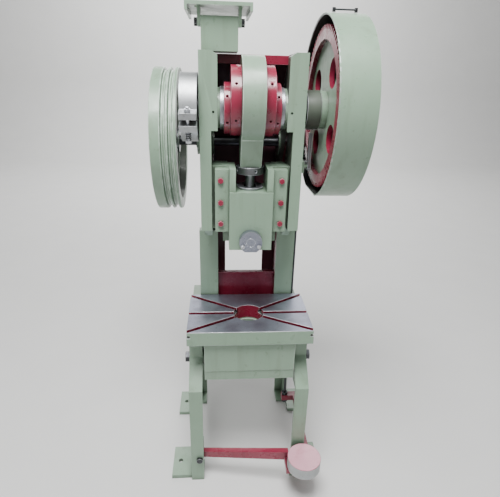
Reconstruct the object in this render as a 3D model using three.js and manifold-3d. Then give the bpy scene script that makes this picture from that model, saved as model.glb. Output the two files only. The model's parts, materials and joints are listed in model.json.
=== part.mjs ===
// A small geared C-frame tablet press on two legs: millimetres, +Z up, the operator stands on the -Y side.
// X is measured from the middle plane of the frame, Y from the front of the two columns, Z from the floor.
import * as THREE from "three";
import { mergeVertices } from "three/addons/utils/BufferGeometryUtils.js";
import Module from "manifold-3d";

const wasm = await Module();
wasm.setup();

// ---------- driving dimensions ----------
const GAP = 0.3;
const TABLE_TOP = 664;
const TABLE = { half: 215, front: -154, back: 112, thick: 52 };
const TABLE_HOLE = { radius: 54, y: -28 };
const SLOT = { width: 15, depth: 12, footWidth: 25, footDepth: 10 };
const BED_TOP = TABLE_TOP - TABLE.thick;

const WEB = { inner: 128, outer: 156 };
const COLUMN = { inner: 108, outer: 164, depth: 45, narrow: 130 };
const JAW = { bottom: TABLE_TOP + 303, top: TABLE_TOP + 857, narrowTo: TABLE_TOP + 630 };
const THROAT = { y: 116, inner: 109, outer: 177, back: 150 };
const WAY = { inner: 91.5, top: TABLE_TOP + 516, front: 30, back: 108.6, lip: 76 };

const CRANK = { y: 64, z: TABLE_TOP + 694, journal: 34 };
const THROW = 22;
const ECCENTRIC_Z = CRANK.z + THROW;
const TOOTH_MODULE = 6;
const GEAR = { teeth: 80, left: 218, right: 266 };
const PINION_TEETH = 16;
const CENTRES = (TOOTH_MODULE * (GEAR.teeth + PINION_TEETH)) / 2;
const SHAFT_DROP = 136;
const SHAFT = {
  y: CRANK.y + Math.sqrt(CENTRES ** 2 - SHAFT_DROP ** 2),
  z: CRANK.z - SHAFT_DROP,
  radius: 18,
};
const FLYWHEEL = { radius: 258, left: -331, right: -243 };
const GUARD = { radius: 275, lobe: 74, left: 208, right: 318, sheet: 3, bottom: CRANK.z - 264 };

const STRAP = { radius: 134, bore: 92.4, half: 35 };
const DISC = { inner: 106, outer: 78, collar: 66 };
const BRAKE = { drum: 92, left: -221, right: -169 };
const BALL = { radius: 24, z: TABLE_TOP + 420 };
const RAM = { half: 71, front: -30, bottom: TABLE_TOP + 245, ledge: TABLE_TOP + 442, top: TABLE_TOP + 516 };
const PUNCH = { radius: 16, y: -30, depth: 60 };
const CAP_THICK = 24;
const GIB = { inner: 72.5, outer: 117, front: -8 };

const LEG = { inner: 166, outer: 213, front: -160, back: 330, flange: 14, top: BED_TOP - 2 };
const LEG_BEND = { low: 425, high: 509, y: -75 };
const PIVOT = { y: -50, z: 495 };
const REAR_BOLT = { y: 250, z: 540 };
const PEDAL = { x: -181, y: -126, z: 105 };
const PAD = { x: 200, y: -232, radius: 60, top: 180, thick: 45 };
const ROD = { x: 186, y: 150, top: 1180 };
const TRIP = { y: 62, z: 1176, finger: 110 };
const BAR = { x: 150, y: -184, low: 124, high: 162 };
const TAIL = { half: 14, deep: 26, eye: 9, nut: 14, slack: 2 };
const SPRING = { radius: 10, wire: 1.5, bottom: 402, length: 118, turns: 8 };
const POST = { left: -157, right: -45, front: 60, back: 180, top: TABLE_TOP + 952 };
const PLATE_HINGE = { y: 78, z: TABLE_TOP + 936 };

// ---------- materials ----------
const paint = (name, color, roughness, metalness) =>
  new THREE.MeshStandardMaterial({ name, color, roughness, metalness });
const sage = paint("sage_paint", 0x93a898, 0.45, 0.0);
const red = paint("red_paint", 0x9a2440, 0.4, 0.0);
const maroon = paint("dark_red_paint", 0x3c1c26, 0.6, 0.0);
const bare = paint("machined_steel", 0xa9adb2, 0.32, 1.0);
const dark = paint("dark_steel", 0x33363a, 0.45, 1.0);
const bright = paint("bright_steel", 0xcfd2d4, 0.22, 1.0);
const bronze = paint("bronze", 0xa7793f, 0.35, 1.0);

// ---------- shape helpers ----------
const X_PLANE = new THREE.Matrix4().makeBasis(
  new THREE.Vector3(0, 1, 0),
  new THREE.Vector3(0, 0, 1),
  new THREE.Vector3(1, 0, 0),
);
const Y_PLANE = new THREE.Matrix4().makeBasis(
  new THREE.Vector3(1, 0, 0),
  new THREE.Vector3(0, 0, 1),
  new THREE.Vector3(0, -1, 0),
);

const box = (x0, x1, y0, y1, z0, z1) =>
  new THREE.BoxGeometry(x1 - x0, y1 - y0, z1 - z0).translate((x0 + x1) / 2, (y0 + y1) / 2, (z0 + z1) / 2);

const outline = (points) => new THREE.Shape(points.map(([u, v]) => new THREE.Vector2(u, v)));

const extruded = (shape, depth) => new THREE.ExtrudeGeometry(shape, { depth, bevelEnabled: false });

// A plate across X from a (y, z) outline, and one through Y from an (x, z) outline.
const plateX = (points, x0, x1) =>
  extruded(outline(points), x1 - x0).applyMatrix4(X_PLANE).translate(x0, 0, 0);
const plateY = (points, y0, y1) =>
  extruded(outline(points), y1 - y0).applyMatrix4(Y_PLANE).translate(0, y1, 0);

const rodX = (x0, x1, y, z, radius, sides = 28) =>
  new THREE.CylinderGeometry(radius, radius, x1 - x0, sides)
    .rotateZ(-Math.PI / 2)
    .translate((x0 + x1) / 2, y, z);
const rodY = (y0, y1, x, z, radius, sides = 24) =>
  new THREE.CylinderGeometry(radius, radius, y1 - y0, sides).translate(x, (y0 + y1) / 2, z);
const rodZ = (z0, z1, x, y, radius, sides = 24) =>
  new THREE.CylinderGeometry(radius, radius, z1 - z0, sides)
    .rotateX(Math.PI / 2)
    .translate(x, y, (z0 + z1) / 2);

// A turned piece about an axis along X: profile points are [radius, x].
const turnedX = (profile, y, z, sides = 28) =>
  new THREE.LatheGeometry(
    profile.map(([r, x]) => new THREE.Vector2(r, x)),
    sides,
  )
    .rotateZ(-Math.PI / 2)
    .translate(0, y, z);

const turnedZ = (profile, x, y, sides = 24) =>
  new THREE.LatheGeometry(
    profile.map(([r, z]) => new THREE.Vector2(r, z)),
    sides,
  )
    .rotateX(Math.PI / 2)
    .translate(x, y, 0);

// ---------- joining and cutting ----------
function signedVolume(position, index) {
  const [a, b, c] = [new THREE.Vector3(), new THREE.Vector3(), new THREE.Vector3()];
  let sum = 0;
  for (let i = 0; i < index.length; i += 3) {
    a.fromBufferAttribute(position, index[i]);
    b.fromBufferAttribute(position, index[i + 1]);
    c.fromBufferAttribute(position, index[i + 2]);
    sum += a.dot(b.cross(c));
  }
  return sum;
}

function solid(shape) {
  if (!shape.isBufferGeometry) return shape;
  const open = shape.clone();
  open.deleteAttribute("normal");
  open.deleteAttribute("uv");
  const merged = mergeVertices(open, 1e-4);
  const index = new Uint32Array(merged.index.array);
  if (signedVolume(merged.attributes.position, index) < 0) index.reverse();
  return new wasm.Manifold(
    new wasm.Mesh({ numProp: 3, vertProperties: merged.attributes.position.array, triVerts: index }),
  );
}

const join = (...shapes) => shapes.map(solid).reduce((whole, piece) => whole.add(piece));
const cut = (shape, ...tools) => tools.map(solid).reduce((rest, tool) => rest.subtract(tool), solid(shape));

function geometryOf(made) {
  const { vertProperties, triVerts } = made.getMesh();
  const geometry = new THREE.BufferGeometry();
  geometry.setAttribute("position", new THREE.BufferAttribute(new Float32Array(vertProperties), 3));
  geometry.setIndex(new THREE.BufferAttribute(new Uint32Array(triVerts), 1));
  geometry.computeVertexNormals();
  return geometry;
}

const mirrored = (shape) => {
  const geometry = geometryOf(solid(shape)).scale(-1, 1, 1);
  return solid(geometry);
};
const handed = (side, shape) => (side === "left" ? mirrored(shape) : shape);

const press = new THREE.Group();
press.name = "tablet_press";

function add(name, shape, material) {
  const mesh = new THREE.Mesh(geometryOf(solid(shape)), material.clone());
  mesh.name = name;
  press.add(mesh);
}

// A hexagonal head or nut, its axis along X or Y.
const hexAlongY = (y0, y1, x, z, radius) => rodY(y0, y1, x, z, radius, 6);
const hexAlongX = (x0, x1, y, z, radius) => rodX(x0, x1, y, z, radius, 6);

// ---------- stand ----------
function legOutline(inset) {
  const f = LEG.front + inset;
  const b = LEG.back - inset;
  const slope = inset * 0.42;
  return [
    [f, inset],
    [f, LEG_BEND.low - slope],
    [LEG_BEND.y + inset, LEG_BEND.high - slope],
    [LEG_BEND.y + inset, LEG.top - inset],
    [b - 30, LEG.top - inset],
    [b - 30, LEG_BEND.high],
    [b, LEG_BEND.low],
    [b, inset],
  ];
}

function leg() {
  const shell = plateX(legOutline(0), LEG.inner, LEG.outer);
  const channel = plateX(legOutline(LEG.flange), LEG.inner - 1, LEG.outer - LEG.flange);
  const arch = plateX(
    [
      [-80, -1],
      [-80, 230],
      [-30, 290],
      [200, 290],
      [250, 230],
      [250, -1],
    ],
    LEG.inner - 1,
    LEG.outer + 1,
  );
  const foot = (y) =>
    cut(box(LEG.outer - 1, LEG.outer + 77, y - 68, y + 68, 0, 16), rodZ(-1, 17, LEG.outer + 48, y, 9, 16));
  const pads = [PIVOT, REAR_BOLT].map(({ y, z }) => rodX(WEB.outer + GAP, LEG.outer - 1, y, z, 30, 20));
  const bores = [PIVOT, REAR_BOLT].map(({ y, z }) => rodX(150, LEG.outer + 1, y, z, 13.3, 16));
  return cut(join(cut(shell, channel, arch), foot(LEG.front + 78), foot(LEG.back - 78), ...pads), ...bores);
}

function rightLeg() {
  const guide = box(ROD.x - 11, LEG.outer - 1, ROD.y - 11, ROD.y + 11, 380, 400);
  return cut(join(leg(), guide), rodZ(379, LEG.top + 1, ROD.x, ROD.y, 6.3, 16));
}

function leftLeg() {
  const lug = box(LEG.outer - 46, LEG.outer - 1, -110, -92, 60, 150);
  const pinHole = rodY(LEG.front - 1, -91, -PEDAL.x, PEDAL.z, 8.3, 20);
  return mirrored(cut(join(leg(), lug), pinHole));
}

add("left_leg", leftLeg(), sage);
add("right_leg", rightLeg(), sage);

for (const [name, at] of [
  ["front_through_bolt", PIVOT],
  ["rear_through_bolt", REAR_BOLT],
]) {
  const ends = [-1, 1].map((side) =>
    side < 0
      ? hexAlongX(-LEG.outer - 16, -LEG.outer - GAP, at.y, at.z, 20)
      : hexAlongX(LEG.outer + GAP, LEG.outer + 16, at.y, at.z, 20),
  );
  add(name, join(rodX(-LEG.outer - 14, LEG.outer + 14, at.y, at.z, 12.5, 16), ...ends), dark);
}

// ---------- frame ----------
const BACK = [
  [190, JAW.top],
  [392, TABLE_TOP + 635],
  [392, TABLE_TOP + 450],
  [335, TABLE_TOP + 310],
  [335, 464],
];

function cheek(side) {
  const profile = [
    [0, JAW.bottom],
    [0, JAW.top],
    ...BACK,
    [-124.7, 464],
    [-124.7, BED_TOP - GAP],
    [THROAT.y, BED_TOP - GAP],
    [THROAT.y, JAW.bottom - 58],
    [THROAT.y - 17, JAW.bottom - 17],
    [THROAT.y - 58, JAW.bottom],
  ];
  const front = [
    [COLUMN.outer, JAW.bottom],
    [COLUMN.outer, JAW.top],
    [COLUMN.inner + 18, JAW.top],
    [COLUMN.inner, JAW.top - 12],
    [COLUMN.inner, JAW.narrowTo],
    [COLUMN.narrow, JAW.narrowTo],
    [COLUMN.narrow, JAW.bottom],
  ];
  const body = join(
    plateX(profile, WEB.inner, WEB.outer),
    plateY(front, 0, COLUMN.depth),
    box(THROAT.inner, THROAT.outer, THROAT.y, THROAT.back, BED_TOP - GAP, JAW.bottom - 40),
    box(WAY.inner, WEB.inner + 1, WAY.front + GAP, 125, JAW.bottom, WAY.top),
    box(WAY.lip, WEB.inner + 1, WAY.back, 125, JAW.bottom, WAY.top),
    rodX(101, 165.5, CRANK.y, CRANK.z, 62),
    rodX(WEB.inner - 6, 186, SHAFT.y, SHAFT.z, 52),
  );
  const boltHoles = GIB_BOLTS.map((z) => rodY(WAY.front - 1, WAY.front + 24, GIB_BOLT_X, z, 5.6, 8));
  const throughBolts = [PIVOT, REAR_BOLT].map(({ y, z }) => rodX(120, 160, y, z, 13.3, 16));
  return handed(
    side,
    cut(
      body,
      rodX(100, 170, CRANK.y, CRANK.z, 42.3),
      rodX(110, 190, SHAFT.y, SHAFT.z, 34.3),
      rodY(-1, 14, 121, CRANK.z - 8, 4, 8),
      ...boltHoles,
      ...throughBolts,
    ),
  );
}

const GIB_BOLTS = [TABLE_TOP + 477, TABLE_TOP + 404, TABLE_TOP + 332];
const GIB_BOLT_X = 99;

add("left_cheek", cheek("left"), sage);
add("right_cheek", cheek("right"), sage);

function bed() {
  const panel = join(box(-157, 157, -140, -125, 496, BED_TOP - GAP), box(-157, 157, -137, -125, 457, 497));
  const seat = box(-WEB.inner + GAP, WEB.inner - GAP, -125, 115, BED_TOP - 34, BED_TOP - GAP);
  return cut(join(panel, seat), rodZ(BED_TOP - 40, BED_TOP + 1, 0, TABLE_HOLE.y, TABLE_HOLE.radius - 8, 40));
}

function rearWall() {
  const outer = [
    [176, JAW.top - 6],
    [188, JAW.top - 6],
    [384, TABLE_TOP + 629],
    [384, TABLE_TOP + 453],
    [327, TABLE_TOP + 313],
    [327, 500],
    [315, 500],
    [315, TABLE_TOP + 316],
    [372, TABLE_TOP + 456],
    [372, TABLE_TOP + 624],
  ];
  const half = WEB.inner - GAP;
  return cut(
    plateX(outer, -half, half),
    box(-79, 79, 300, 340, TABLE_TOP - 8, TABLE_TOP + 150),
    box(-90, 90, 300, 340, 515, BED_TOP - 20),
  );
}

add("bed_casting", bed(), sage);
add("rear_wall", rearWall(), maroon);
add(
  "lower_cross_web",
  box(-WEB.inner + GAP, WEB.inner - GAP, THROAT.back + GAP, THROAT.back + 22, BED_TOP - 60, TABLE_TOP + 78),
  red,
);
add(
  "top_tie_bar",
  box(-WEB.inner + GAP, WEB.inner - GAP, 150, 175, JAW.top - 30, JAW.top - 2),
  red,
);

// The table has six T-slots that run from its middle hole to the corners and to the middle of each end.
function table() {
  const plate = box(-TABLE.half, TABLE.half, TABLE.front, TABLE.back, BED_TOP, TABLE_TOP);
  const ends = [TABLE.back - 8, TABLE_HOLE.y, TABLE.front + 8];
  const slots = [-1, 1].flatMap((side) =>
    ends.flatMap((y) => {
      const angle = Math.atan2(y - TABLE_HOLE.y, side * TABLE.half);
      const along = (width, low, high) =>
        box(TABLE_HOLE.radius - 6, 270, -width / 2, width / 2, low, high)
          .rotateZ(angle)
          .translate(0, TABLE_HOLE.y, TABLE_TOP);
      return [
        along(SLOT.width, -SLOT.depth - 1, 1),
        along(SLOT.footWidth, -SLOT.depth - SLOT.footDepth, -SLOT.depth),
      ];
    }),
  );
  return cut(plate, rodZ(BED_TOP - 1, TABLE_TOP + 1, 0, TABLE_HOLE.y, TABLE_HOLE.radius, 40), ...slots);
}

add("table_plate", table(), bare);

// ---------- slideways ----------
for (const side of ["left", "right"]) {
  const bar = box(GIB.inner, GIB.outer, GIB.front, WAY.front, JAW.bottom, WAY.top - 4);
  const holes = GIB_BOLTS.map((z) => rodY(GIB.front - 1, WAY.front + 1, GIB_BOLT_X, z, 5.6, 8));
  add(`${side}_gib`, handed(side, cut(bar, ...holes)), sage);
  GIB_BOLTS.forEach((z, i) => {
    const bolt = join(
      hexAlongY(GIB.front - 8, GIB.front - GAP, GIB_BOLT_X, z, 10),
      rodY(GIB.front - 1, WAY.front + 20, GIB_BOLT_X, z, 5, 8),
    );
    add(`${side}_gib_bolt_${i + 1}`, handed(side, bolt), red);
  });
}

// ---------- bearings ----------
const bush = (x0, x1, inner, outer, at) =>
  turnedX(
    [
      [inner, x0],
      [outer, x0],
      [outer, x1],
      [inner, x1],
      [inner, x0],
    ],
    at.y,
    at.z,
    28,
  );

for (const side of ["left", "right"]) {
  add(`${side}_crank_bush`, handed(side, bush(100.5, 166, CRANK.journal + 0.4, 41.6, CRANK)), bronze);
  add(`${side}_shaft_bearing`, handed(side, bush(124, 187, SHAFT.radius + GAP, 33.6, SHAFT)), dark);
}

// ---------- crankshaft and its eccentric ----------
function crankshaft() {
  const j = CRANK.journal;
  const line = turnedX(
    [
      [0, BRAKE.left - 4],
      [j - 6, BRAKE.left - 4],
      [j - 6, -167],
      [j, -167],
      [j, -100],
      [DISC.collar, -100],
      [DISC.collar, -88.3],
      [j, -88.3],
      [j, 88.3],
      [DISC.collar, 88.3],
      [DISC.collar, 100],
      [j, 100],
      [j, 168],
      [j - 4, 168],
      [j - 4, 270],
      [j - 12, 270],
      [j - 12, 292],
      [0, 292],
    ],
    CRANK.y,
    CRANK.z,
  );
  return join(line, rodX(-67, 67, CRANK.y, ECCENTRIC_Z - THROW / 2, 52, 32));
}

// Holes for a tommy bar round the rim of a disc.
function tommyHoles(x, z, radius) {
  return Array.from({ length: 6 }, (_, i) =>
    rodZ(radius - 18, radius + 1, x, 0, 4.5, 6)
      .rotateX((i * Math.PI) / 3 + 1.05)
      .translate(0, CRANK.y, z),
  );
}

const core = rodX(-90, 90, CRANK.y, ECCENTRIC_Z - THROW / 2, 52.6, 32);

function eccentricSleeve() {
  const drum = rodX(-67.5, 37.5, CRANK.y, ECCENTRIC_Z, STRAP.bore - 0.4, 40);
  const flange = rodX(-67.5, -36, CRANK.y, ECCENTRIC_Z, DISC.inner, 40);
  return cut(join(drum, flange), core, ...tommyHoles(-52, ECCENTRIC_Z, DISC.inner));
}

function eccentricFlange() {
  const disc = rodX(38, 67.5, CRANK.y, ECCENTRIC_Z, DISC.inner, 40);
  return cut(disc, core, ...tommyHoles(53, ECCENTRIC_Z, DISC.inner));
}

function lockDisc(side) {
  const disc = cut(
    rodX(68, 88, CRANK.y, CRANK.z, DISC.outer, 36),
    rodX(60, 90, CRANK.y, CRANK.z, CRANK.journal + 0.4, 28),
    ...tommyHoles(78, CRANK.z, DISC.outer),
  );
  return handed(side, disc);
}

function brakeDrum() {
  const bore = CRANK.journal - 6 + GAP;
  const rim = BRAKE.drum;
  return turnedX(
    [
      [bore, BRAKE.left],
      [46, BRAKE.left],
      [46, BRAKE.left + 14],
      [rim - 14, BRAKE.left + 14],
      [rim - 14, BRAKE.left],
      [rim, BRAKE.left],
      [rim, BRAKE.right],
      [bore, BRAKE.right],
      [bore, BRAKE.left],
    ],
    CRANK.y,
    CRANK.z,
  );
}

function clutchHub() {
  const hub = bush(170, 215, CRANK.journal - 4 + GAP, 60, CRANK);
  const keyway = box(180, 216, CRANK.y - 9, CRANK.y + 9, CRANK.z - 70, CRANK.z - 44);
  return cut(hub, keyway);
}

add("crankshaft", crankshaft(), bare);
add("eccentric_sleeve", eccentricSleeve(), red);
add("eccentric_flange", eccentricFlange(), red);
add("left_lock_disc", lockDisc("left"), red);
add("right_lock_disc", lockDisc("right"), red);
add("brake_drum", brakeDrum(), dark);
add("clutch_hub", clutchHub(), bare);
add(
  "clutch_key",
  box(180, 215, CRANK.y - 8.6, CRANK.y + 8.6, CRANK.z - 62, CRANK.z - 44.4),
  bright,
);
add("crank_end_nut", hexAlongXWithBore(270.5, 288, CRANK, 36, CRANK.journal - 12 + GAP), bare);

function hexAlongXWithBore(x0, x1, at, radius, bore) {
  return cut(hexAlongX(x0, x1, at.y, at.z, radius), rodX(x0 - 1, x1 + 1, at.y, at.z, bore, 32));
}

// ---------- gear train and flywheel ----------
// A spur wheel's outline: each tooth is a straight-sided trapezoid between the root and tip circles.
function toothOutline(teeth, turn) {
  const pitch = (TOOTH_MODULE * teeth) / 2;
  const root = pitch - 1.25 * TOOTH_MODULE;
  const tip = pitch + 0.95 * TOOTH_MODULE;
  const step = (2 * Math.PI) / teeth;
  const corners = [
    [root, -0.34],
    [tip, -0.13],
    [tip, 0.13],
    [root, 0.34],
  ];
  return Array.from({ length: teeth }, (_, i) =>
    corners.map(([r, share]) => {
      const angle = turn + (i + share) * step;
      return [r * Math.cos(angle), r * Math.sin(angle)];
    }),
  ).flat();
}

const wheel = (teeth, turn, x0, x1, at) => plateX(toothOutline(teeth, turn), x0, x1).translate(0, at.y, at.z);

// The line of centres, on which a tooth of the pinion stands in a space of the gear.
const MESH_ANGLE = Math.atan2(SHAFT.z - CRANK.z, SHAFT.y - CRANK.y);

function mainGear() {
  const { left, right } = GEAR;
  const rim = wheel(GEAR.teeth, MESH_ANGLE + Math.PI / GEAR.teeth, left, right, CRANK);
  const dish = (x0, x1) => bush(x0, x1, 58, 206, CRANK);
  const windows = Array.from({ length: 4 }, (_, i) =>
    rodX(left - 5, right + 5, 135, 0, 44, 16)
      .rotateX((i * Math.PI) / 2 + 0.62)
      .translate(0, CRANK.y, CRANK.z),
  );
  const hub = bush(left - 2.5, right + 3, CRANK.journal, 58.5, CRANK);
  const bore = rodX(left - 9, right + 9, CRANK.y, CRANK.z, CRANK.journal - 4 + 0.4, 28);
  return cut(join(cut(rim, dish(left - 1, left + 16), dish(right - 16, right + 1), ...windows), hub), bore);
}

function pinion() {
  const teeth = wheel(PINION_TEETH, MESH_ANGLE + Math.PI, GEAR.left - 4, GEAR.right + 4, SHAFT);
  return cut(teeth, rodX(200, 280, SHAFT.y, SHAFT.z, SHAFT.radius + GAP, 32));
}

// The flywheel carries two V-belt grooves in its rim.
function flywheel() {
  const { radius: r, left, right } = FLYWHEEL;
  const hub = 44;
  const bore = SHAFT.radius + GAP;
  const groove = (x) => [
    [r, x - 9],
    [r - 12, x - 5],
    [r - 12, x + 5],
    [r, x + 9],
  ];
  return turnedX(
    [
      [bore, left + 18],
      [hub, left + 18],
      [hub, left + 34],
      [r - 44, left + 34],
      [r - 38, left],
      [r, left],
      ...groove(left + 44),
      ...groove(left + 68),
      [r, right],
      [r - 38, right],
      [r - 44, left + 56],
      [hub, left + 56],
      [hub, right - 10],
      [bore, right - 10],
      [bore, left + 18],
    ],
    SHAFT.y,
    SHAFT.z,
    40,
  );
}

function backShaft() {
  const r = SHAFT.radius;
  return turnedX(
    [
      [0, FLYWHEEL.left + 12],
      [r, FLYWHEEL.left + 12],
      [r, -190],
      [r + 8, -190],
      [r + 8, -187.3],
      [r, -187.3],
      [r, 187.3],
      [r + 8, 187.3],
      [r + 8, 190],
      [r, 190],
      [r, GEAR.right + 16],
      [0, GEAR.right + 16],
    ],
    SHAFT.y,
    SHAFT.z,
    28,
  );
}

add("main_gear", mainGear(), red);
add("back_shaft", backShaft(), dark);
add("flywheel", flywheel(), sage);
add("pinion", pinion(), dark);

// ---------- gear guard ----------
function guardSolid(inset, x0, x1) {
  const drum = rodX(x0, x1, CRANK.y, CRANK.z, GUARD.radius - inset, 64);
  const lobe = rodX(x0, x1, SHAFT.y, SHAFT.z, GUARD.lobe - inset, 24);
  const below = box(x0 - 1, x1 + 1, -400, 600, 0, GUARD.bottom + inset);
  return cut(join(drum, lobe), below);
}

function gearGuard() {
  const shell = cut(
    guardSolid(0, GUARD.left, GUARD.right),
    guardSolid(GUARD.sheet, GUARD.left - 1, GUARD.right - GUARD.sheet),
  );
  const [strapY, strapZ] = [SHAFT.y + 58, SHAFT.z + 6];
  const strap = box(190, 240, strapY + 12, strapY + 17, strapZ - 22, strapZ + 22);
  const foot = box(WEB.outer + GAP, 192, strapY + 12, strapY + 17, strapZ - 22, strapZ + 22);
  return join(shell, strap, foot);
}

add("gear_guard", gearGuard(), sage);

function guardStay() {
  const z = CRANK.z + GUARD.radius;
  const post = (x) => rodZ(z + GAP, z + 12, x, CRANK.y - 30, 5, 12);
  return join(post(232), post(298), rodX(228, 302, CRANK.y - 30, z + 7, 2.5, 12));
}
add("guard_stay", guardStay(), dark);

// ---------- connecting rod and screw ----------
const SCREW = { top: TABLE_TOP + 560, bottom: TABLE_TOP + 488 };

function connectingRod() {
  const ring = rodX(-STRAP.half, STRAP.half, CRANK.y, ECCENTRIC_Z, STRAP.radius, 48);
  const shank = plateX(
    [
      [CRANK.y - 78, ECCENTRIC_Z - 100],
      [CRANK.y - 40, SCREW.bottom + 36],
      [CRANK.y - 36, SCREW.bottom + 24.3],
      [CRANK.y + 36, SCREW.bottom + 24.3],
      [CRANK.y + 40, SCREW.bottom + 36],
      [CRANK.y + 78, ECCENTRIC_Z - 100],
    ],
    -STRAP.half,
    STRAP.half,
  );
  const bore = rodX(-STRAP.half - 1, STRAP.half + 1, CRANK.y, ECCENTRIC_Z, STRAP.bore + 0.3, 40);
  const thread = rodZ(SCREW.bottom, SCREW.top + 1, 0, CRANK.y, 20.3, 24);
  return cut(join(ring, shank), bore, thread);
}

function adjustingScrew() {
  return turnedZ(
    [
      [0, BALL.z - BALL.radius],
      ...[-60, -30, 0, 25].map((degrees) => {
        const angle = THREE.MathUtils.degToRad(degrees);
        return [BALL.radius * Math.cos(angle), BALL.z + BALL.radius * Math.sin(angle)];
      }),
      [16, BALL.z + 20],
      [16, SCREW.bottom - 6],
      [20, SCREW.bottom - 2],
      [20, SCREW.top],
      [0, SCREW.top],
    ],
    0,
    CRANK.y,
    24,
  );
}

function lockNut() {
  const ring = cut(
    rodZ(SCREW.bottom, SCREW.bottom + 24, 0, CRANK.y, 47, 28),
    rodZ(SCREW.bottom - 1, SCREW.bottom + 25, 0, CRANK.y, 20.3, 24),
  );
  const holes = [0, 1, 2, 3].map((i) =>
    rodY(-50, -34, 0, SCREW.bottom + 12, 4, 8)
      .rotateZ((i * Math.PI) / 2 + 0.35)
      .translate(0, CRANK.y, 0),
  );
  return cut(ring, ...holes);
}

add("connecting_rod", connectingRod(), sage);
add("adjusting_screw", adjustingScrew(), bare);
add("lock_nut", lockNut(), bare);

// ---------- ram ----------
// The cup under the ball is long enough, front to back, for the whole throw of the crank.
function cup(radius, z0, z1) {
  const y = CRANK.y;
  return join(
    rodZ(z0, z1, 0, y, radius, 32),
    rodZ(z0, z1, 0, y - THROW, radius, 32),
    box(-radius, radius, y - THROW, y, z0, z1),
  );
}

function ram() {
  const body = join(
    box(-RAM.half, RAM.half, RAM.front, WAY.front + 2, RAM.bottom, RAM.ledge),
    box(-WAY.inner + 0.5, WAY.inner - 0.5, WAY.front + 1, WAY.back - 0.5, RAM.bottom + 10, RAM.top),
    box(-RAM.half, RAM.half, RAM.front + 8, WAY.front + 2, RAM.ledge - 1, RAM.top),
  );
  return cut(
    body,
    box(-51, 51, RAM.front - 1, WAY.back + 1, RAM.ledge, RAM.top + 1),
    cup(BALL.radius + 5, BALL.z - BALL.radius - 6, RAM.ledge + 1),
    rodZ(RAM.bottom - 1, RAM.bottom + PUNCH.depth, 0, PUNCH.y, PUNCH.radius, 32),
    ...[-1, 1].map((side) => rodY(RAM.front - 1, RAM.front + 26, side * 27, RAM.bottom + 22, 4.3, 12)),
  );
}

function cupRing() {
  return cut(cup(42, RAM.ledge + GAP, RAM.ledge + 7), cup(21, RAM.ledge - 1, RAM.ledge + 8));
}

function clampCap() {
  const z = RAM.bottom + 34;
  const face = rodY(RAM.front - CAP_THICK, RAM.front - GAP, 0, z, 38, 40);
  return cut(
    face,
    box(-50, 50, RAM.front - 30, RAM.front + 1, z - 60, RAM.bottom + 1),
    rodZ(RAM.bottom - 1, RAM.bottom + PUNCH.depth, 0, PUNCH.y, PUNCH.radius, 32),
    ...[-1, 1].map((side) => rodY(RAM.front - 30, RAM.front + 1, side * 27, RAM.bottom + 22, 4.3, 12)),
  );
}

add("ram", ram(), sage);
add("cup_ring", cupRing(), bare);
add("punch_clamp_cap", clampCap(), bright);
for (const [side, x] of [
  ["left", -27],
  ["right", 27],
]) {
  const stud = join(
    rodY(RAM.front - CAP_THICK - 12, RAM.front + 24, x, RAM.bottom + 22, 4, 12),
    hexAlongY(RAM.front - CAP_THICK - 8, RAM.front - CAP_THICK - GAP, x, RAM.bottom + 22, 7.5),
  );
  add(`${side}_clamp_stud`, stud, bright);
}

// ---------- brake ----------
const BAND = { inner: BRAKE.drum + 1.4, outer: BRAKE.drum + 12, left: BRAKE.left, right: BRAKE.right };
const LUG_ANGLE = THREE.MathUtils.degToRad(195);

// Pieces of the brake are made with the band's gap along +Y and turned so that it faces the operator.
const onBand = (shape) => shape.rotateX(LUG_ANGLE).translate(0, CRANK.y, CRANK.z);

function brakeBand() {
  const ring = bush(BAND.left, BAND.right, BAND.inner, BAND.outer, { y: 0, z: 0 });
  const lug = (z0, z1) => box(BAND.left, BAND.right, BAND.inner + 3, BAND.outer + 34, z0, z1);
  const split = box(BAND.left - 1, BAND.right + 1, 0, 200, -9, 9);
  const hole = rodZ(-40, 40, (BAND.left + BAND.right) / 2, BAND.outer + 18, 5.4, 16);
  const made = cut(join(ring, lug(8, 28), lug(-28, -8)), split, hole);
  return onBand(geometryOf(made));
}

function brakeBolt() {
  const x = (BAND.left + BAND.right) / 2;
  const y = BAND.outer + 18;
  const rod = rodZ(-42, 66, x, y, 5, 12);
  const nut = rodZ(-37, -28 - GAP, x, y, 10, 6);
  const cap = rodZ(58, 66, x, y, 10, 6);
  return onBand(geometryOf(join(rod, nut, cap)));
}

// A coil spring drawn as a stack of turns is one solid: a helix swept with a small section.
function helix(radius, wire, length, turns) {
  class Coil extends THREE.Curve {
    getPoint(t, target = new THREE.Vector3()) {
      const angle = 2 * Math.PI * turns * t;
      return target.set(radius * Math.cos(angle), radius * Math.sin(angle), length * t);
    }
  }
  const section = outline(
    Array.from({ length: 5 }, (_, i) => [
      wire * Math.cos((i * 2 * Math.PI) / 5),
      wire * Math.sin((i * 2 * Math.PI) / 5),
    ]),
  );
  const steps = turns * 8;
  return new THREE.ExtrudeGeometry(section, { steps, extrudePath: new Coil(), bevelEnabled: false });
}

function brakeSpring() {
  const spring = helix(8, 1.6, 25, 4).translate((BAND.left + BAND.right) / 2, BAND.outer + 18, 30.5);
  return onBand(spring);
}

function brakeAnchor() {
  const y = CRANK.y + BAND.outer + 14;
  return join(
    box(-190, -WEB.outer - GAP, y, y + 18, CRANK.z - 16, CRANK.z + 16),
    box(BAND.left, -189, y, y + 18, CRANK.z - 8, CRANK.z + 8),
    box(BAND.left, -182, CRANK.y + BAND.outer + 0.6, y + 1, CRANK.z - 8, CRANK.z + 8),
  );
}

add("brake_band", brakeBand(), sage);
add("brake_bolt", brakeBolt(), bright);
add("brake_spring", brakeSpring(), dark);
add("brake_anchor", brakeAnchor(), dark);

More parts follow.
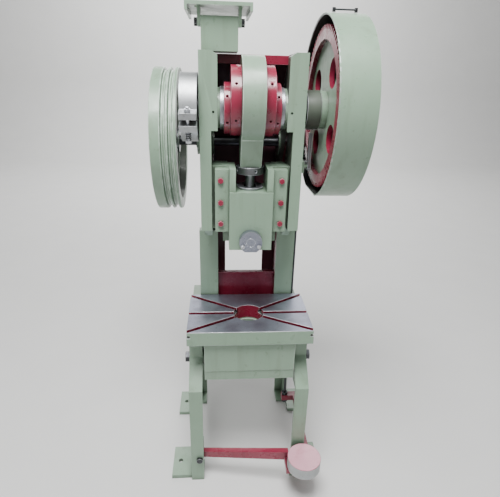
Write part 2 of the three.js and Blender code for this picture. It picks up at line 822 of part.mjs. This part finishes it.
// ---------- pedal, pull rod and clutch trip ----------
function pedalLever() {
  const slope = (BAR.y - PEDAL.y) / (BAR.x - PEDAL.x);
  const bar = plateY(
    [
      [0, -13],
      [BAR.x - PEDAL.x, BAR.low - PEDAL.z],
      [BAR.x - PEDAL.x, BAR.high - PEDAL.z],
      [0, 13],
    ],
    -10,
    10,
  );
  bar.applyMatrix4(new THREE.Matrix4().set(1, 0, 0, 0, slope, 1, 0, 0, 0, 0, 1, 0, 0, 0, 0, 1));
  bar.translate(PEDAL.x, PEDAL.y, PEDAL.z);
  const bottom = PAD.top - PAD.thick;
  const under = box(BAR.x - 14, 236, PAD.y - 14, BAR.y + 10, bottom - 20, bottom - GAP);
  const side = box(222, 236, PAD.y - 14, ROD.y + TAIL.half, bottom - TAIL.deep, bottom - GAP);
  const [tailFront, tailBack] = [ROD.y - TAIL.half, ROD.y + TAIL.half];
  const tail = box(ROD.x - TAIL.half, 236, tailFront, tailBack, bottom - TAIL.deep, bottom - GAP);
  const boss = rodY(PEDAL.y - 12, PEDAL.y + 15, PEDAL.x, PEDAL.z, 17);
  const pin = rodY(PEDAL.y - 20, PEDAL.y + 30, PEDAL.x, PEDAL.z, 8.3, 20);
  const eye = rodZ(bottom - 30, bottom + 1, ROD.x, ROD.y, TAIL.eye, 16);
  return cut(join(bar, under, side, tail, boss), pin, eye);
}

// The lower nut takes the pull of the pedal's tail, the collar stands on the return spring, and the cross pin
// at the top bears on the trip lever.
function pullRod() {
  const top = PAD.top - PAD.thick;
  const under = top - TAIL.deep;
  const collar = SPRING.bottom + SPRING.length + 2;
  return join(
    rodZ(under - 16, ROD.top, ROD.x, ROD.y, 5, 16),
    rodZ(under - TAIL.slack - 10, under - TAIL.slack, ROD.x, ROD.y, TAIL.nut, 6),
    rodZ(top + TAIL.slack, top + TAIL.slack + 10, ROD.x, ROD.y, TAIL.nut, 6),
    rodZ(collar, collar + 6, ROD.x, ROD.y, SPRING.radius + 2, 20),
    box(ROD.x - 5, ROD.x + 5, ROD.y - 8, ROD.y + 8, ROD.top - 1, ROD.top + 22),
    rodX(ROD.x + 4, 203, ROD.y, ROD.top + 9, 4, 12),
  );
}

function tripBracket() {
  return join(
    box(WEB.outer + GAP, 180, TRIP.y - 16, TRIP.y + 16, TRIP.z - 20, TRIP.z + 20),
    rodX(179, 204, TRIP.y, TRIP.z, 7, 20),
  );
}

// The pull rod pushes the lever's rear end down, and its finger swings back from under the clutch key.
function tripLever() {
  const tail = ROD.y - TRIP.y + 10;
  const arms = plateX(
    [
      [-13, -6],
      [-6, -13],
      [tail, -8],
      [tail, 8],
      [9, 13],
      [9, TRIP.finger],
      [-9, TRIP.finger],
      [-13, 8],
    ],
    192,
    202,
  ).translate(0, TRIP.y, TRIP.z);
  return cut(arms, rodX(190, 210, TRIP.y, TRIP.z, 7.3, 20));
}

add("pedal_lever", pedalLever(), red);
add("pedal_pad", rodZ(PAD.top - PAD.thick, PAD.top, PAD.x, PAD.y, PAD.radius, 48), red);
add(
  "pedal_pin",
  join(
    rodY(LEG.front - 6, -88, PEDAL.x, PEDAL.z, 8, 20),
    rodY(LEG.front - 10, LEG.front - GAP, PEDAL.x, PEDAL.z, 12, 20),
  ),
  dark,
);
add("pull_rod", pullRod(), dark);
add("trip_bracket", tripBracket(), sage);
add("trip_lever", tripLever(), bare);
const pedalSpring = helix(SPRING.radius, SPRING.wire, SPRING.length, SPRING.turns);
add("return_spring", pedalSpring.translate(ROD.x, ROD.y, SPRING.bottom), dark);

// ---------- motor mount ----------
function motorPost() {
  const { left, right, front, back, top } = POST;
  const foot = JAW.top + GAP;
  const shell = box(left, right, front, back, foot, top);
  const hollow = box(left + 10, right - 10, front + 12, back + 1, foot + 12, top + 1);
  return cut(shell, hollow, rodX(left - 1, right + 1, PLATE_HINGE.y, PLATE_HINGE.z, 7.3, 20));
}

function motorPlate() {
  const z = TABLE_TOP + 976;
  const lug = (x0, x1) =>
    plateX(
      [
        [PLATE_HINGE.y - 14, PLATE_HINGE.z - 12],
        [PLATE_HINGE.y + 14, PLATE_HINGE.z - 12],
        [PLATE_HINGE.y + 40, z + 1],
        [PLATE_HINGE.y - 24, z + 1],
      ],
      x0,
      x1,
    );
  const plate = join(
    box(-202, -4, 34, 262, z, z + 10),
    box(-202, -194, 34, 262, z - 14, z + 1),
    box(-12, -4, 34, 262, z - 14, z + 1),
    lug(POST.left - 10, POST.left - GAP),
    lug(POST.right + GAP, POST.right + 10),
  );
  const hole = rodX(-180, -20, PLATE_HINGE.y, PLATE_HINGE.z, 7.3, 20);
  const slots = [-170, -36].flatMap((x) =>
    [80, 216].map((y) => box(x - 5, x + 5, y - 20, y + 20, z - 1, z + 11)),
  );
  return cut(plate, hole, ...slots);
}

add("motor_post", motorPost(), sage);
add("motor_plate", motorPlate(), sage);
add(
  "motor_hinge_pin",
  join(
    rodX(POST.left - 20, POST.right + 20, PLATE_HINGE.y, PLATE_HINGE.z, 7, 20),
    hexAlongX(POST.left - 20, POST.left - 10 - GAP, PLATE_HINGE.y, PLATE_HINGE.z, 12),
    hexAlongX(POST.right + 10 + GAP, POST.right + 20, PLATE_HINGE.y, PLATE_HINGE.z, 12),
  ),
  dark,
);

// ---------- origin: middle of the foot print ----------
const reach = new THREE.Box3().setFromObject(press);
press.position.set(-(reach.min.x + reach.max.x) / 2, -(reach.min.y + reach.max.y) / 2, -reach.min.z);

export default press;
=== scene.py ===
"""A small geared C-frame tablet press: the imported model's frame with cast, painted and machined finishes."""

import json
import math

import bmesh
import bpy
from mathutils import Matrix, Vector


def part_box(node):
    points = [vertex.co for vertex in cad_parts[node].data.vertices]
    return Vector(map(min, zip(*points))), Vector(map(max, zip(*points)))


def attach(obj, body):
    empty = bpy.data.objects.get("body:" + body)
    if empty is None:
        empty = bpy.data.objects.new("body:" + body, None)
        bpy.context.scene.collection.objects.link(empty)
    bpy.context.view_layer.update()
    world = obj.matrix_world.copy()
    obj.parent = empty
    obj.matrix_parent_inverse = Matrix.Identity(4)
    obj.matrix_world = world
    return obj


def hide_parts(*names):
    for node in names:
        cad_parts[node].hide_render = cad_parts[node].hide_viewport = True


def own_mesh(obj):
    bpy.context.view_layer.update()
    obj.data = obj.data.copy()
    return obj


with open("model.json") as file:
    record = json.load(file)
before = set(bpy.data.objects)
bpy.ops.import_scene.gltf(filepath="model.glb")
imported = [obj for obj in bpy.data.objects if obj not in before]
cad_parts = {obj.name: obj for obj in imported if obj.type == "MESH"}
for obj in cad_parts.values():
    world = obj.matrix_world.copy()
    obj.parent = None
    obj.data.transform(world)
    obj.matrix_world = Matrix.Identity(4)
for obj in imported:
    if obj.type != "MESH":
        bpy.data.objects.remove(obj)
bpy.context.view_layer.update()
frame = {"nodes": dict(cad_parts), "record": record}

# ---------- camera: at the operator's eye, a little left of the middle, looking down at the table ----------
EYE = Vector((-0.0973, -1.4828, 1.4468))
YAW, PITCH, ROLL = (math.radians(a) for a in (4.5, 22.05, 1.47))
LENS = 30.2

ahead = Vector((math.sin(YAW) * math.cos(PITCH), math.cos(YAW) * math.cos(PITCH), -math.sin(PITCH)))
level = Vector((math.cos(YAW), -math.sin(YAW), 0))
above = level.cross(ahead)
right = math.cos(ROLL) * level + math.sin(ROLL) * above
up = math.cos(ROLL) * above - math.sin(ROLL) * level
camera = bpy.data.objects.new("camera", bpy.data.cameras.new("camera"))
bpy.context.scene.collection.objects.link(camera)
camera.data.lens = LENS
camera.matrix_world = Matrix.Translation(EYE) @ Matrix((right, up, -ahead)).transposed().to_4x4()
bpy.context.scene.camera = camera

# ---------- materials ----------
# The Mix node has one set of sockets for each data type. These are its colour sockets.
MIX_FIRST = 6
MIX_SECOND = 7
MIX_RESULT = 2
AO_SAMPLES = 4

# How a pattern is squeezed along each axis of the piece.
PLAIN = (1, 1, 1)
OIL_RUNS = (14, 14, 1.2)
TOOL_ON_X = (60, 1, 1)
TOOL_ON_Y = (1, 60, 1)


class Surface:
    """A procedural finish. Its patterns are fixed to the piece, in metres."""

    def __init__(self, name):
        self.material = bpy.data.materials.new(name)
        self.material.use_nodes = True
        self.nodes = self.material.node_tree.nodes
        self.shader = self.nodes["Principled BSDF"]
        self.place = self.nodes.new("ShaderNodeTexCoord").outputs["Object"]

    def feed(self, socket, value):
        if isinstance(value, bpy.types.NodeSocket):
            self.material.node_tree.links.new(value, socket)
        elif isinstance(value, tuple):
            socket.default_value = (*value, 1.0)
        else:
            socket.default_value = value

    def noise(self, scale, detail=4.0, stretch=PLAIN):
        mapping = self.nodes.new("ShaderNodeMapping")
        mapping.inputs["Scale"].default_value = stretch
        self.feed(mapping.inputs["Vector"], self.place)
        noise = self.nodes.new("ShaderNodeTexNoise")
        self.feed(noise.inputs["Vector"], mapping.outputs["Vector"])
        noise.inputs["Scale"].default_value = scale
        noise.inputs["Detail"].default_value = detail
        return noise.outputs["Fac"]

    def corner_shade(self, reach):
        """1 in the open, towards 0 in corners and under ledges: the mask for painted shade there."""
        node = self.nodes.new("ShaderNodeAmbientOcclusion")
        node.samples = AO_SAMPLES
        node.inputs["Distance"].default_value = reach
        return node.outputs["AO"]

    def span(self, value, low, high, out_low=0.0, out_high=1.0):
        node = self.nodes.new("ShaderNodeMapRange")
        for name, number in zip(("From Min", "From Max", "To Min", "To Max"), (low, high, out_low, out_high)):
            node.inputs[name].default_value = number
        self.feed(node.inputs["Value"], value)
        return node.outputs["Result"]

    def times(self, a, b):
        node = self.nodes.new("ShaderNodeMath")
        node.operation = "MULTIPLY"
        self.feed(node.inputs[0], a)
        self.feed(node.inputs[1], b)
        return node.outputs[0]

    def mix(self, share, first, second):
        node = self.nodes.new("ShaderNodeMix")
        node.data_type = "RGBA"
        self.feed(node.inputs["Factor"], share)
        self.feed(node.inputs[MIX_FIRST], first)
        self.feed(node.inputs[MIX_SECOND], second)
        return node.outputs[MIX_RESULT]

    def bump(self, height, strength, distance):
        node = self.nodes.new("ShaderNodeBump")
        node.inputs["Strength"].default_value = strength
        node.inputs["Distance"].default_value = distance
        self.feed(node.inputs["Height"], height)
        self.feed(self.shader.inputs["Normal"], node.outputs["Normal"])

    def set(self, **values):
        for name, value in values.items():
            self.feed(self.shader.inputs[name.replace("_", " ").title()], value)


def darker(colour, share):
    return tuple(share * channel for channel in colour)


def painted(name, base, deep, pale, rough=0.36):
    """Brushed-on machine enamel: uneven colour, oil streaks, dull spots, and painted shade in the corners."""
    s = Surface(name)
    clouds = s.span(s.noise(scale=4.0, detail=3.0), low=0.35, high=0.68, out_high=0.45)
    colour = s.mix(clouds, base, pale)
    streaks = s.span(s.noise(scale=2.5, detail=6.0, stretch=OIL_RUNS), low=0.54, high=0.8, out_high=0.32)
    colour = s.mix(streaks, colour, deep)
    spots = s.span(s.noise(scale=70.0, detail=2.0), low=0.66, high=0.76, out_high=0.3)
    colour = s.mix(spots, colour, deep)
    # Painted shade: darker in corners and under ledges, more in some patches than others.
    corners = s.span(s.corner_shade(reach=0.03), low=0.3, high=0.85, out_low=0.85, out_high=0.0)
    patches = s.span(s.noise(scale=20.0), low=0.25, high=0.55, out_low=0.5, out_high=1.0)
    s.set(base_color=s.mix(s.times(corners, patches), colour, darker(deep, 0.35)))
    gloss = s.noise(scale=22.0, detail=5.0)
    s.set(roughness=s.span(gloss, low=0.3, high=0.7, out_low=rough - 0.1, out_high=rough + 0.16))
    s.set(coat_weight=0.25, coat_roughness=0.2)
    s.bump(s.noise(scale=130.0, detail=3.0), strength=0.3, distance=0.0006)
    return s.material


def chipped_and_highlit(name, base, worn, metal=0.0):
    """The rounded edge of a piece, where the finish is thin, rubbed and chipped, and lighter than the face as
    a painted edge highlight.
    """
    s = Surface(name)
    rubbed = s.span(s.noise(scale=34.0, detail=6.0), low=0.4, high=0.6, out_low=0.1, out_high=1.0)
    s.set(base_color=s.mix(rubbed, base, worn), metallic=s.times(rubbed, metal))
    s.set(roughness=s.span(s.noise(scale=60.0), low=0.3, high=0.7, out_low=0.26, out_high=0.5))
    s.bump(s.noise(scale=150.0, detail=3.0), strength=0.3, distance=0.0005)
    return s.material


def machined(name, base, stain, rough, tool, grain=0.25, stained=0.5):
    """Bare steel with tool marks, handling stains, and painted shade in the corners."""
    s = Surface(name)
    marks = s.noise(scale=60.0, detail=3.0, stretch=tool)
    stains = s.span(s.noise(scale=11.0, detail=7.0), low=0.42, high=0.68, out_high=stained)
    colour = s.mix(stains, base, stain)
    specks = s.span(s.noise(scale=170.0, detail=3.0), low=0.62, high=0.75, out_high=0.6)
    colour = s.mix(specks, colour, darker(stain, 0.45))
    # Painted shade: darker in corners and crevices.
    corners = s.span(s.corner_shade(reach=0.012), low=0.3, high=0.8, out_low=0.7, out_high=0.0)
    colour = s.mix(corners, colour, darker(stain, 0.2))
    s.set(base_color=colour, metallic=0.95)
    s.set(roughness=s.span(marks, low=0.3, high=0.7, out_low=rough - 0.06, out_high=rough + 0.18))
    s.bump(marks, strength=grain, distance=0.0003)
    return s.material


FINISH = {
    "sage": painted(
        "sage_enamel", base=(0.21, 0.31, 0.22), deep=(0.11, 0.14, 0.08), pale=(0.26, 0.36, 0.27)
    ),
    # Painted shade: a dark copy of the sage enamel for sage faces that lie in shadow.
    "shade": painted(
        "painted_shade_enamel", base=(0.06, 0.075, 0.055), deep=(0.02, 0.022, 0.018),
        pale=(0.085, 0.1, 0.08), rough=0.5
    ),
    # Painted shade: near black for the inside of the gear guard, which lies in shadow.
    "black": painted(
        "guard_inside_shade", base=(0.014, 0.016, 0.014), deep=(0.005, 0.005, 0.005),
        pale=(0.02, 0.024, 0.02), rough=0.6
    ),
    "red": painted(
        "crimson_enamel", base=(0.21, 0.01, 0.032), deep=(0.06, 0.005, 0.012),
        pale=(0.3, 0.03, 0.07), rough=0.28
    ),
    # Worn crimson, made pale as a painted highlight on the pedal pad's lit top.
    "pink": painted(
        "worn_crimson_and_highlight", base=(0.6, 0.27, 0.34), deep=(0.4, 0.08, 0.13),
        pale=(0.76, 0.5, 0.56), rough=0.45
    ),
    # Painted shade: a dark copy of the crimson enamel for the rear wall, which stands in shadow behind the
    # crank.
    "maroon": painted(
        "crimson_in_painted_shade", base=(0.07, 0.014, 0.026), deep=(0.02, 0.006, 0.009),
        pale=(0.11, 0.02, 0.036), rough=0.5
    ),
    "steel": machined(
        "milled_steel", (0.4, 0.42, 0.51), (0.2, 0.185, 0.23),
        rough=0.36, tool=TOOL_ON_X, grain=0.3, stained=0.75
    ),
    "turned": machined(
        "turned_steel", (0.36, 0.375, 0.4), (0.15, 0.145, 0.14), rough=0.3, tool=TOOL_ON_X
    ),
    "bright": machined(
        "bright_steel", (0.72, 0.74, 0.78), (0.42, 0.44, 0.49),
        rough=0.2, tool=TOOL_ON_Y, grain=0.15, stained=0.3
    ),
    "cap": machined(
        "clamp_cap_steel", (0.34, 0.36, 0.43), (0.16, 0.17, 0.21),
        rough=0.3, tool=TOOL_ON_Y, grain=0.4, stained=0.7
    ),
    # Pale steel; on the brake band and its anchor it also stands in for a painted highlight on their lit
    # faces.
    "pale": machined(
        "weathered_steel_and_highlight", (0.46, 0.48, 0.49), (0.22, 0.22, 0.215), rough=0.42, tool=TOOL_ON_X
    ),
    "dark": machined(
        "oiled_steel", (0.075, 0.078, 0.084), (0.026, 0.025, 0.024), rough=0.34, tool=TOOL_ON_X
    ),
    "bronze": machined(
        "bearing_bronze", (0.55, 0.36, 0.16), (0.22, 0.13, 0.06), rough=0.3, tool=TOOL_ON_X
    ),
    # Edge finishes, lighter than their faces: rubbed wear and a painted edge highlight.
    "sage_edge": chipped_and_highlit("sage_edge", base=(0.3, 0.4, 0.31), worn=(0.52, 0.62, 0.54)),
    "red_edge": chipped_and_highlit("crimson_edge", base=(0.3, 0.03, 0.06), worn=(0.55, 0.22, 0.28)),
    # The same painted shade on the rear wall's rounded edges.
    "crimson_edge_in_painted_shade": chipped_and_highlit("crimson_edge_in_painted_shade", base=(0.11, 0.02, 0.036), worn=(0.2, 0.06, 0.08)),
    "steel_edge": chipped_and_highlit("steel_edge", base=(0.42, 0.44, 0.48), worn=(0.62, 0.63, 0.66), metal=0.9),
    "dark_edge": chipped_and_highlit("dark_edge", base=(0.1, 0.105, 0.11), worn=(0.3, 0.31, 0.32), metal=0.9),
}
# A piece in a finish that isn't listed here has a steel edge.
EDGE_OF = {
    "sage": "sage_edge",
    "red": "red_edge",
    "pink": "red_edge",
    "maroon": "crimson_edge_in_painted_shade",
    "dark": "dark_edge",
}
BY_SLOT = {
    "sage_paint": "sage",
    "red_paint": "red",
    "dark_red_paint": "maroon",
    "machined_steel": "turned",
    "dark_steel": "dark",
    "bright_steel": "bright",
    "bronze": "bronze",
}


# ---------- which part of a piece has which finish ----------
def middle(node):
    low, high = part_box(node)
    return (low + high) / 2


CRANK = middle("right_lock_disc")
SHAFT = middle("back_shaft")
# A face lies in a plane when it is nearer to it than this.
TOUCH = 0.0004
# A normal's share along an axis: nearly straight along it, or more along it than not.
STRAIGHT = 0.9
MOSTLY = 0.5
# How far a face turns away from an axis, or towards it, before it counts as outside or inside.
OUTWARD = 0.2
INWARD = -0.3
# Depth of the table's slots, and half the width of the ring round its hole.
SLOT_DEPTH = 0.0121
HOLE_REACH = 0.055
# Radii, in metres, at which a wheel's finish changes.
GEAR_HUB = 0.062
GEAR_WEB = 0.2
WHEEL_HUB = 0.046
WHEEL_RIM = 0.213
GUARD_HUB = 0.1
# The guard's cover is thinner than this, and the cheeks' inner faces are nearer the middle than this.
GUARD_COVER = 0.01
THROAT = 0.13


def around(axis, point, normal):
    """Distance of a face from an axis along X, and how far it faces away from it."""
    arm = Vector((0, point.y - axis.y, point.z - axis.z))
    return arm.length, normal.dot(arm.normalized())


def table_finish(point, normal):
    low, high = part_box("table_plate")
    if normal.z > STRAIGHT and high.z - point.z < TOUCH:
        return "steel"
    rim = min(point.x - low.x, high.x - point.x, point.y - low.y, high.y - point.y)
    if rim < TOUCH or normal.z < -STRAIGHT and point.z - low.z < TOUCH:
        return "sage"
    # Deep in the slots' undercuts the faces get the dark sage: painted shade.
    outside_hole = abs(point.x - middle("table_plate").x) > HOLE_REACH
    return "shade" if high.z - point.z > SLOT_DEPTH and outside_hole else "red"


def gear_finish(point, normal):
    reach, _ = around(CRANK, point, normal)
    on_web = reach < GEAR_WEB and abs(normal.x) > MOSTLY
    return "sage" if on_web or reach < GEAR_HUB else "red"


def flywheel_finish(point, normal):
    reach, outward = around(SHAFT, point, normal)
    if reach < WHEEL_HUB:
        return "turned"
    # The wheel's dish and the rim's inner face get the dark sage: painted shade.
    return "sage" if reach > WHEEL_RIM and (outward > OUTWARD or abs(normal.x) > MOSTLY) else "shade"


def guard_finish(point, normal):
    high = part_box("gear_guard")[1]
    reach, outward = around(CRANK, point, normal)
    # The inside of the cover and of its band is near black: painted shade inside the guard.
    if normal.x < -MOSTLY and high.x - point.x < GUARD_COVER:
        return "black"
    return "black" if abs(normal.x) < MOSTLY and outward < INWARD and reach > GUARD_HUB else "sage"


def cheek_finish(point, normal):
    inward = normal.x * (point.x - middle("ram").x) < 0 and abs(normal.x) > MOSTLY
    if inward and point.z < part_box("left_gib")[0].z and point.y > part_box("ram")[0].y:
        return "red"
    # The cheeks' inner faces in the throat get the dark sage: painted shade.
    return "shade" if inward and abs(point.x - middle("ram").x) < THROAT else "sage"


def pad_finish(point, normal):
    # The pad's top is the pale worn crimson: wear with a painted highlight.
    return "pink" if normal.z > STRAIGHT else "pale"


# These pieces have more than one finish.
RULES = {
    "table_plate": table_finish,
    "main_gear": gear_finish,
    "flywheel": flywheel_finish,
    "gear_guard": guard_finish,
    "left_cheek": cheek_finish,
    "right_cheek": cheek_finish,
    "pedal_pad": pad_finish,
}
# These have one finish that isn't their slot's.
OWN = {
    # The brake band and its anchor take the pale steel in place of their slot's paint: a painted highlight.
    "brake_band": "pale",
    "brake_anchor": "pale",
    "return_spring": "turned",
    "punch_clamp_cap": "cap",
    # The clutch hub gets the dark sage: painted shade.
    "clutch_hub": "shade",
    "crank_end_nut": "dark",
}

# ---------- pieces ----------
CAST = (
    "left_leg",
    "right_leg",
    "left_cheek",
    "right_cheek",
    "bed_casting",
    "rear_wall",
    "lower_cross_web",
    "connecting_rod",
    "ram",
    "motor_post",
    "flywheel",
)
SMALL = (
    "gear_guard",
    "brake_spring",
    "return_spring",
    "crank_end_nut",
    "main_gear",
    "pinion",
    "brake_bolt",
    "left_clamp_stud",
    "right_clamp_stud",
)
# Radii of the rounded edges, in metres.
CAST_EDGE = 0.0022
SMALL_EDGE = 0.0006
OTHER_EDGE = 0.0012
EDGE_SEGMENTS = 2
# Corners nearer than this are one corner.
WELD = 1e-5
# Faces that turn less than FLAT are one face, and edges that turn more than CORNER are rounded.
FLAT = math.radians(0.6)
CORNER = math.radians(32)


def edge_radius(node):
    if node in CAST:
        return CAST_EDGE
    return SMALL_EDGE if node in SMALL else OTHER_EDGE


def dressed(node, slot, body):
    """Adds the CAD piece with rounded edges, smooth curved faces, and each face in its own finish."""
    mesh = bmesh.new()
    mesh.from_mesh(frame["nodes"][node].data)
    bmesh.ops.remove_doubles(mesh, verts=mesh.verts, dist=WELD)
    whole = OWN.get(node, BY_SLOT[slot])
    rule = RULES.get(node, lambda point, normal: whole)
    used = []
    for face in mesh.faces:
        finish = rule(face.calc_center_median(), face.normal)
        if finish not in used:
            used.append(finish)
        face.material_index = used.index(finish)
        face.smooth = True
    bmesh.ops.dissolve_limit(
        mesh, angle_limit=FLAT, verts=mesh.verts, edges=mesh.edges, delimit={"MATERIAL"}
    )
    data = bpy.data.meshes.new(f"{node}_finished")
    mesh.to_mesh(data)
    mesh.free()
    edge = "red" if node == "main_gear" else EDGE_OF.get(whole, "steel_edge")
    for finish in [*used, edge]:
        data.materials.append(FINISH[finish])
    data.set_sharp_from_angle(angle=CORNER)
    piece = bpy.data.objects.new(f"{node}_finished", data)
    bpy.context.scene.collection.objects.link(piece)
    bevel = piece.modifiers.new("rounded_edges", "BEVEL")
    bevel.width = edge_radius(node)
    bevel.segments = EDGE_SEGMENTS
    bevel.material = len(used)
    bevel.limit_method = "ANGLE"
    bevel.angle_limit = CORNER
    bevel.harden_normals = True
    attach(piece, body)
    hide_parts(node)


slots = {part["node"]: part["material_slot"] for part in frame["record"]["subparts"]}
for body, nodes in frame["record"]["behaviour"]["bodies"].items():
    for node in nodes:
        dressed(node, slots[node], body)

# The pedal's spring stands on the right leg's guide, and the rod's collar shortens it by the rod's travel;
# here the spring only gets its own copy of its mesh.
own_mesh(bpy.data.objects["return_spring_finished"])


def tube(name, points, radius, finish, body):
    """Adds a round wire along a path of points, given in the row's frame."""
    curve = bpy.data.curves.new(name, "CURVE")
    curve.dimensions = "3D"
    curve.bevel_depth = radius
    curve.bevel_resolution = 3
    curve.use_fill_caps = True
    spline = curve.splines.new("POLY")
    spline.points.add(len(points) - 1)
    for at, point in zip(spline.points, points):
        at.co = (*point, 1)
    curve.materials.append(FINISH[finish])
    piece = bpy.data.objects.new(name, curve)
    bpy.context.scene.collection.objects.link(piece)
    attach(piece, body)


def guard_rim():
    """The wired edge round the guard's mouth, from its front lower corner over the top to the back lobe."""
    low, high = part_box("gear_guard")
    wire = 0.0028
    radius = high.z - CRANK.z - wire
    mouth = min(v.co.x for v in frame["nodes"]["gear_guard"].data.vertices if v.co.z > CRANK.z)
    front_end = math.pi - math.asin((low.z - CRANK.z) / radius)
    back_end = math.radians(-4)
    sweep = front_end - back_end
    steps = 72
    points = []
    for i in range(steps + 1):
        angle = front_end - sweep * i / steps
        points.append((mouth + wire, CRANK.y + radius * math.cos(angle), CRANK.z + radius * math.sin(angle)))
    tube("guard_mouth_rim", points, wire, "pale", "frame")


def cap_ring():
    """The turned ring in the face of the punch clamp cap, round an axis along Y."""
    low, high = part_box("punch_clamp_cap")
    cap_radius = (high.x - low.x) / 2
    ring_radius = 0.38 * cap_radius
    wire = 0.0007
    sunk = 0.0004
    centre = Vector(((low.x + high.x) / 2, low.y + sunk, high.z - cap_radius))
    steps = 48
    turn = [2 * math.pi * i / steps for i in range(steps + 1)]
    points = [centre + ring_radius * Vector((math.cos(a), 0, math.sin(a))) for a in turn]
    tube("clamp_cap_inner_ring", points, wire, "bright", "ram")


guard_rim()
cap_ring()

# ---------- floor and light ----------
FLOOR_DROP = 0.0005
WORLD_LIGHT = 0.34


def studio():
    """A pale floor that sweeps up into a wall far behind the press."""
    half = 8.0
    flat_to = 6.0
    bend = 1.4
    wall_top = 6.0
    steps = 12
    arc = [(math.pi / 2) * i / steps for i in range(steps + 1)]
    curve = [(flat_to + bend * math.sin(a), bend * (1 - math.cos(a))) for a in arc]
    profile = [(-half, 0.0), *curve, (flat_to + bend, wall_top)]
    verts = [(x, y, z) for y, z in profile for x in (-half, half)]
    faces = [(2 * i, 2 * i + 1, 2 * i + 3, 2 * i + 2) for i in range(len(profile) - 1)]
    data = bpy.data.meshes.new("floor")
    data.from_pydata(verts, [], faces)
    data.shade_smooth()
    s = Surface("pale_floor")
    s.set(base_color=s.mix(s.noise(scale=4.0), (0.66, 0.66, 0.65), (0.71, 0.71, 0.7)), roughness=0.8)
    data.materials.append(s.material)
    sweep = bpy.data.objects.new("floor", data)
    sweep.location.z = -FLOOR_DROP
    bpy.context.scene.collection.objects.link(sweep)


def softbox(name, place, aim, size, watts):
    light = bpy.data.lights.new(name, "AREA")
    light.size = size
    light.energy = watts
    lamp = bpy.data.objects.new(name, light)
    lamp.location = place
    lamp.rotation_euler = (Vector(aim) - Vector(place)).to_track_quat("-Z", "Y").to_euler()
    bpy.context.scene.collection.objects.link(lamp)


studio()
softbox("overhead", place=(-0.25, -1.1, 3.6), aim=(0, 0, 1.0), size=1.4, watts=195)
softbox("front", place=(-1.3, -2.6, 2.3), aim=(0, 0, 0.7), size=1.4, watts=8)
softbox("behind", place=(0.5, 2.9, 2.6), aim=(0, 0, 1.0), size=2.0, watts=15)
softbox("backdrop", place=(0, 4.2, 4.6), aim=(0, 7, 1.2), size=3.0, watts=420)
world = bpy.data.worlds.new("studio")
world.use_nodes = True
world.node_tree.nodes["Background"].inputs["Color"].default_value = (1, 1, 1, 1)
world.node_tree.nodes["Background"].inputs["Strength"].default_value = WORLD_LIGHT
bpy.context.scene.world = world
